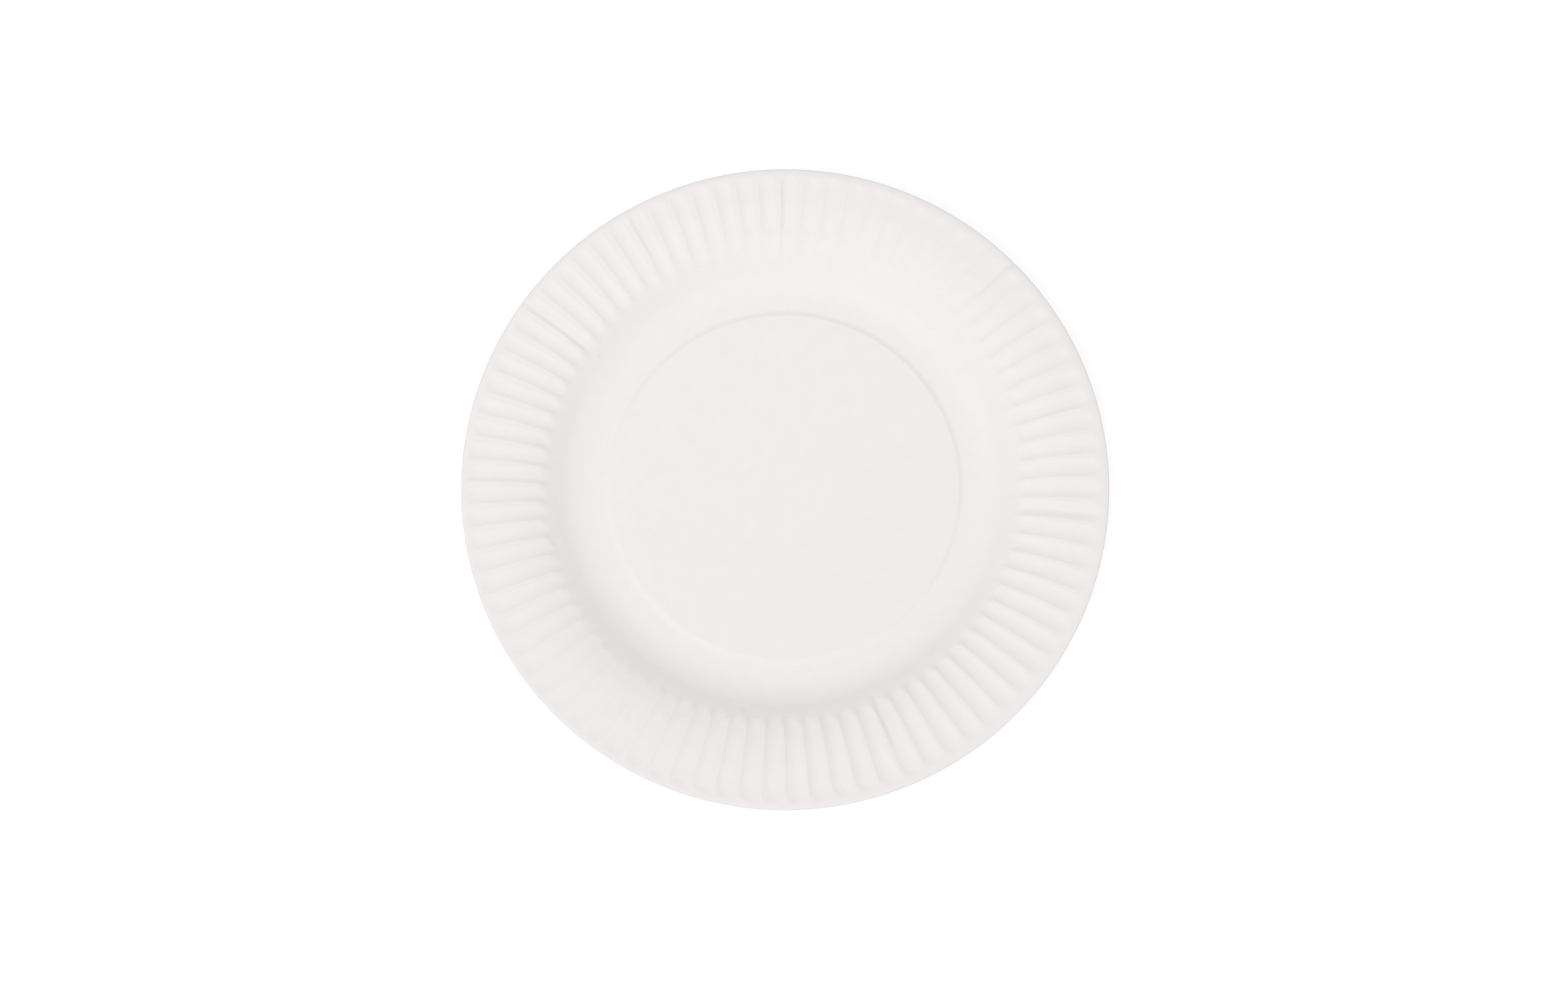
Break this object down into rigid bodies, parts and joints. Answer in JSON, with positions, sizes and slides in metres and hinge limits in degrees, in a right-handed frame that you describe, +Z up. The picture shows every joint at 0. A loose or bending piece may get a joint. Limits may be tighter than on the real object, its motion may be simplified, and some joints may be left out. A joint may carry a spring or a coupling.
{
  "type": "paper plate",
  "caption": "Round white paper plate pressed from one sheet of board, with a raised flat centre, a sloping wall and a wide fluted brim that ends in a smooth lip; it holds a serving of food.",
  "frame": {"origin": "on the table under the middle of the plate, at the level of the flat ring that it stands on", "axes": "+Z up along the plate's axis, out of the side that holds the food; X and Y lie in the table, with a flute crest on +X"},
  "size_m": [0.2302, 0.2302, 0.0158],
  "materials": {
    "paperboard": "uncoated matt white board"
  },
  "bodies": {
    "root": {"plate": "paperboard"}
  },
  "joints": []
}
